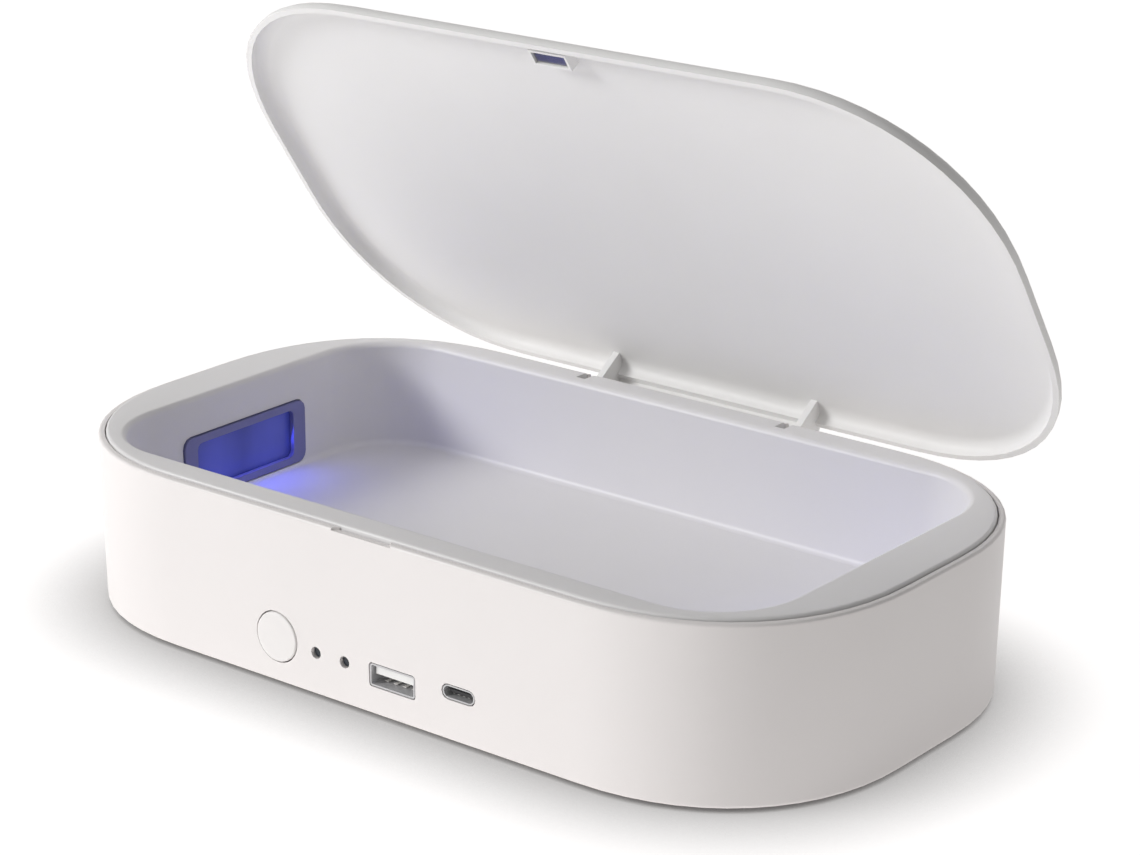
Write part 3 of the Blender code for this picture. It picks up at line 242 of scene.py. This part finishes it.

# Painted glow of the lamp windows: bright spots in front of the lamps and a faint uneven glow over the
# glass
GLOW_SPOT_REACH, GLOW_SPOT_STRENGTH = 14 * MM, 0.1
GLOW_HAZE_SCALE, GLOW_HAZE_DETAIL, GLOW_HAZE_SQUEEZE, GLOW_HAZE_STRENGTH = 140.0, 2.0, (1.0, 1.0, 0.4), 0.12
WALL_PLANE = (0.0, 1.0, 1.0)
GLASS_LIGHT = (0.16, 0.19, 1.0, 1.0)


def painted_lamp_glow(tree, place, lamp):
    """Mask of the painted glow: 1 in front of a lamp's middle, fading to 0 around it, the same in both end
    walls.
    """
    low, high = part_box(lamp)
    apart = vectors(tree, "SUBTRACT", place, (low + high) / 2)
    flat = vectors(tree, "MULTIPLY", apart, WALL_PLANE)
    distance = vectors(tree, "LENGTH", flat, result="Value")
    return remap(tree, distance, 0.0, 1.0, GLOW_SPOT_REACH, 0.0, interpolation_type="SMOOTHERSTEP")


def window_glass():
    """Deep blue glass with painted glow: faint and uneven all over, brighter in front of the two lamps
    behind it.
    """
    material = grained("window_glass", (0.055, 0.07, 0.33), 0.12, drift=0.12)
    tree = material.node_tree
    shader = tree.nodes["Principled BSDF"]
    place = node(tree, "ShaderNodeTexCoord").outputs["Object"]
    # The glass's emission is painted glow, standing in for the lamps' light shining through it
    glow_spots = [painted_lamp_glow(tree, place, lamp) for lamp in ("uv_led_left_front", "uv_led_left_rear")]
    spot_glow = maths(tree, "MULTIPLY", maths(tree, "MAXIMUM", *glow_spots), GLOW_SPOT_STRENGTH)
    glow_haze = noise(tree, place, GLOW_HAZE_SCALE, GLOW_HAZE_DETAIL, GLOW_HAZE_SQUEEZE)
    hazy_glow = maths(tree, "MULTIPLY", glow_haze, GLOW_HAZE_STRENGTH)
    shader.inputs["Emission Color"].default_value = GLASS_LIGHT
    feed(tree, shader.inputs["Emission Strength"], maths(tree, "ADD", hazy_glow, spot_glow))
    return material


GLASS = window_glass()

# The pins, washers, screws and latch plate aren't named here, because they are steel
FINISHES = {
    SHELL: ("outer_shell",),
    TRAY: ("inner_tray",),
    LID: ("lid",),
    BUTTON: ("power_button",),
    COVER: ("bottom_cover",),
    RUBBER: ("foot_front_left", "foot_front_right", "foot_rear_left", "foot_rear_right"),
    INSERT: ("usb_a_tongue", "uv_board_left", "uv_board_right"),
    SOCKET: ("usb_a_shell", "usb_c_shell"),
    SMOKED: ("light_pipe_left", "light_pipe_right"),
    LAMP: (
        "status_led_left",
        "status_led_right",
        "uv_led_left_front",
        "uv_led_left_rear",
        "uv_led_right_front",
        "uv_led_right_rear",
    ),
    SLATE: ("uv_bezel_left", "uv_bezel_right"),
    GLASS: ("uv_window_left", "uv_window_right"),
    NICKEL: ("lid_magnet",),
    BOARD: ("main_board",),
    COPPER: ("charging_coil",),
    FERRITE: ("ferrite_plate",),
    BLACK: ("usb_c_tongue", "switch_body", "switch_plunger", "control_chip", "coil_driver", "lid_sensor"),
}
finish_of = {name: material for material, names in FINISHES.items() for name in names}
for name in nodes:
    dress(name, finish_of.get(name, STEEL))


# Added pieces

def add_object(name, shape, material):
    """An object from a bmesh, with its material."""
    mesh = bpy.data.meshes.new(name)
    shape.to_mesh(mesh)
    shape.free()
    mesh.materials.append(material)
    made = bpy.data.objects.new(name, mesh)
    bpy.context.scene.collection.objects.link(made)
    return made


CONTACT_THICKNESS = 0.12 * MM
CONTACT_BEVEL = CONTACT_THICKNESS / 4
BEVEL_SEGMENTS = 2
CONTACT_START_SHARE, CONTACT_LENGTH_SHARE = 0.12, 0.7
END_SHARE = 0.25
USB_C_CONTACTS, USB_C_CONTACT_WIDTH = 5, 0.5 * MM
USB_A_CONTACTS, USB_A_CONTACT_WIDTH = 4, 1.0 * MM


def add_contacts(tongue, count, width, both_faces=False):
    """Plated contacts in a row under a socket's tongue, and on top of it where asked."""
    low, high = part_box(tongue)
    depth = high.y - low.y
    length = depth * CONTACT_LENGTH_SHARE
    size = Vector((width, length, CONTACT_THICKNESS))
    pitch = (high.x - low.x) / (count + 2 * END_SHARE)
    y = low.y + depth * CONTACT_START_SHARE + length / 2
    shape = bmesh.new()
    for z in (high.z, low.z) if both_faces else (low.z,):
        for step in range(count):
            x = (low.x + high.x) / 2 + (step - (count - 1) / 2) * pitch
            place = Matrix.LocRotScale(Vector((x, y, z)), None, size)
            bmesh.ops.create_cube(shape, size=1.0, matrix=place)
    contacts = add_object(tongue.replace("tongue", "contacts"), shape, PLATED)
    edges = contacts.modifiers.new("edges", "BEVEL")
    edges.width = CONTACT_BEVEL
    edges.segments = BEVEL_SEGMENTS
    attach(contacts, "base")


add_contacts("usb_c_tongue", USB_C_CONTACTS, USB_C_CONTACT_WIDTH, both_faces=True)
add_contacts("usb_a_tongue", USB_A_CONTACTS, USB_A_CONTACT_WIDTH)


# Camera

FOCAL_PIXELS = 3192.6
IMAGE_WIDTH = 1140
SENSOR = 36.0
YAW, PITCH, ROLL = 0.6681, 0.3317, 0.0050
EYE = Vector((0.43917, -0.54397, 0.29256))
TRAY_LOW, TRAY_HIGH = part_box("inner_tray")
TRAY_MIDDLE = Vector(((TRAY_LOW.x + TRAY_HIGH.x) / 2, (TRAY_LOW.y + TRAY_HIGH.y) / 2, 0))


def add_camera():
    """The camera at the photograph's place and angle."""
    forward = Vector((-math.sin(YAW) * math.cos(PITCH), math.cos(YAW) * math.cos(PITCH), -math.sin(PITCH)))
    level = Vector((math.cos(YAW), math.sin(YAW), 0))
    upright = level.cross(forward)
    right = level * math.cos(ROLL) + upright * math.sin(ROLL)
    up = upright * math.cos(ROLL) - level * math.sin(ROLL)
    data = bpy.data.cameras.new("camera")
    data.sensor_width = SENSOR
    data.lens = FOCAL_PIXELS / IMAGE_WIDTH * SENSOR
    camera = bpy.data.objects.new("camera", data)
    bpy.context.scene.collection.objects.link(camera)
    turn = Matrix((right, up, -forward)).transposed().to_4x4()
    camera.matrix_world = Matrix.Translation(TRAY_MIDDLE + EYE) @ turn
    bpy.context.scene.camera = camera


add_camera()


# World and floor

WORLD_COLOUR = (1.0, 0.99, 0.985, 1.0)
WORLD_RIGHT, WORLD_LEFT = 0.19, 0.35
FLOOR_RADIUS, FLOOR_SIDES = 6.0, 96
PAPER_SCALE, PAPER_DARK, PAPER_LIGHT = 9.0, (0.90, 0.89, 0.885), (0.92, 0.91, 0.905)
PAPER_ROUGHNESS = 0.9
PAPER_GLOW = (1.0, 0.985, 0.98, 1.0)
SEEN_SHARE, SEEN_GLOW, BOUNCE_GLOW = 0.2, 0.975, 0.54
FADE_START, FADE_END, FADE_SHARE = 0.18, 0.36, 0.6
SHADOW_REACH, SHADOW_POWER, SHADOW_SAMPLES = 28 * MM, 1.25, 8


def seen_directly(tree):
    """1 for rays that show the background: from the camera, in gloss and through glass."""
    path = node(tree, "ShaderNodeLightPath")
    in_view = maths(tree, "MAXIMUM", path.outputs["Is Camera Ray"], path.outputs["Is Glossy Ray"])
    return maths(tree, "MAXIMUM", in_view, path.outputs["Is Transmission Ray"])


def add_world():
    """A pale world: white behind the object, and dim as light, most so from the object's right."""
    world = bpy.data.worlds.new("studio")
    world.use_nodes = True
    bpy.context.scene.world = world
    tree = world.node_tree
    background = tree.nodes["Background"]
    background.inputs["Color"].default_value = WORLD_COLOUR
    direction = node(tree, "ShaderNodeTexCoord").outputs["Generated"]
    level = remap(tree, along_x(tree, direction), WORLD_RIGHT, WORLD_LEFT, 1.0, -1.0)
    feed(tree, background.inputs["Strength"], either(tree, seen_directly(tree), level, 1.0))


def floor_paper():
    """White paper that shows the object's shadow, partly the key lamp's real shadow and mostly painted
    shadow from ambient occlusion, and lights the object less from its right.
    """
    material, tree, shader = new_material("floor_paper")
    place = node(tree, "ShaderNodeTexCoord").outputs["Object"]
    seen = seen_directly(tree)
    fade = remap(tree, along_x(tree, place), 1.0, FADE_SHARE, FADE_START, FADE_END)
    paper = tint(tree, noise(tree, place, PAPER_SCALE), PAPER_DARK, PAPER_LIGHT)
    dimmed = node(tree, "ShaderNodeVectorMath", operation="SCALE")
    feed(tree, dimmed.inputs[0], paper)
    feed(tree, dimmed.inputs["Scale"], either(tree, seen, fade, SEEN_SHARE))
    feed(tree, shader.inputs["Base Color"], dimmed.outputs["Vector"])
    shader.inputs["Roughness"].default_value = PAPER_ROUGHNESS
    shader.inputs["Specular IOR Level"].default_value = 0.0
    # Painted shadow: the paper's glow, as the camera sees it, is darkened by ambient occlusion near the
    # object
    shadow = node(tree, "ShaderNodeAmbientOcclusion", samples=SHADOW_SAMPLES)
    feed(tree, shadow.inputs["Distance"], SHADOW_REACH)
    open_share = maths(tree, "POWER", shadow.outputs["AO"], SHADOW_POWER)
    seen_glow = maths(tree, "MULTIPLY", open_share, SEEN_GLOW)
    bounce_glow = maths(tree, "MULTIPLY", fade, BOUNCE_GLOW)
    shader.inputs["Emission Color"].default_value = PAPER_GLOW
    feed(tree, shader.inputs["Emission Strength"], either(tree, seen, bounce_glow, seen_glow))
    return material


def add_floor():
    """The round floor that the object stands on."""
    shape = bmesh.new()
    bmesh.ops.create_circle(shape, cap_ends=True, radius=FLOOR_RADIUS, segments=FLOOR_SIDES)
    add_object("floor", shape, floor_paper())


add_world()
add_floor()


# Lamps

KEY_PLACE, KEY_TARGET, KEY_SIZE, KEY_WATTS = (-1.09, -1.17, 0.83), (0, 0, 0.03), (0.7, 0.5), 17.4
GLOW = (0.12, 0.14, 1.0)
GLOW_GAP, GLOW_AIM = 0.8 * MM, Vector((0.1, 0, -0.03))
GLOW_SIZE, GLOW_WATTS = (0.034, 0.011), 0.0065
REAR_GLOW_SETBACK, REAR_GLOW_RISE, REAR_GLOW_AIM = 0.045, 0.004, Vector((0, 0.1, 0.02))
REAR_GLOW_SIZE, REAR_GLOW_WATTS = (0.15, 0.006), 0.05
WINDOWS = {"left": 1, "right": -1}
LIT_BY_GLOW = ("inner_tray", "uv_bezel_left", "uv_bezel_right", "uv_window_left", "uv_window_right")


def add_softbox(name, place, target, size, watts, colour=(1.0, 1.0, 1.0)):
    """A rectangular lamp that points at a place."""
    data = bpy.data.lights.new(name, "AREA")
    data.shape = "RECTANGLE"
    data.size, data.size_y = size
    data.energy = watts
    data.color = colour
    lamp = bpy.data.objects.new(name, data)
    bpy.context.scene.collection.objects.link(lamp)
    lamp.location = place
    lamp.rotation_mode = "QUATERNION"
    lamp.rotation_quaternion = (Vector(target) - Vector(place)).to_track_quat("-Z", "Y")
    lamp.visible_camera = False
    return lamp


def window_glow(side, inward):
    """The light of one lamp window, from just in front of its glass."""
    low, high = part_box("uv_window_" + side)
    inner = high.x if inward > 0 else low.x
    middle = Vector((inner + inward * GLOW_GAP, (low.y + high.y) / 2, (low.z + high.z) / 2))
    aim = middle + Vector((inward * GLOW_AIM.x, 0, GLOW_AIM.z))
    return add_softbox("glow_" + side, middle, aim, GLOW_SIZE, GLOW_WATTS, GLOW)


def rear_glow():
    """The violet light that the chamber's floor throws on the foot of its rear wall."""
    start = Vector((0, TRAY_HIGH.y - REAR_GLOW_SETBACK, TRAY_LOW.z + REAR_GLOW_RISE))
    return add_softbox("glow_rear", start, start + REAR_GLOW_AIM, REAR_GLOW_SIZE, REAR_GLOW_WATTS, GLOW)


def add_glow():
    """The violet light inside the chamber, kept to the tray and its windows."""
    lit = bpy.data.collections.new("lit_by_glow")
    for name in LIT_BY_GLOW:
        lit.objects.link(nodes[name])
    lamps = [window_glow(side, inward) for side, inward in WINDOWS.items()]
    lamps.append(rear_glow())
    for lamp in lamps:
        lamp.light_linking.receiver_collection = lit
        lamp.visible_glossy = False


add_softbox("key", KEY_PLACE, KEY_TARGET, KEY_SIZE, KEY_WATTS)
add_glow()

bpy.context.scene.view_settings.view_transform = "Standard"
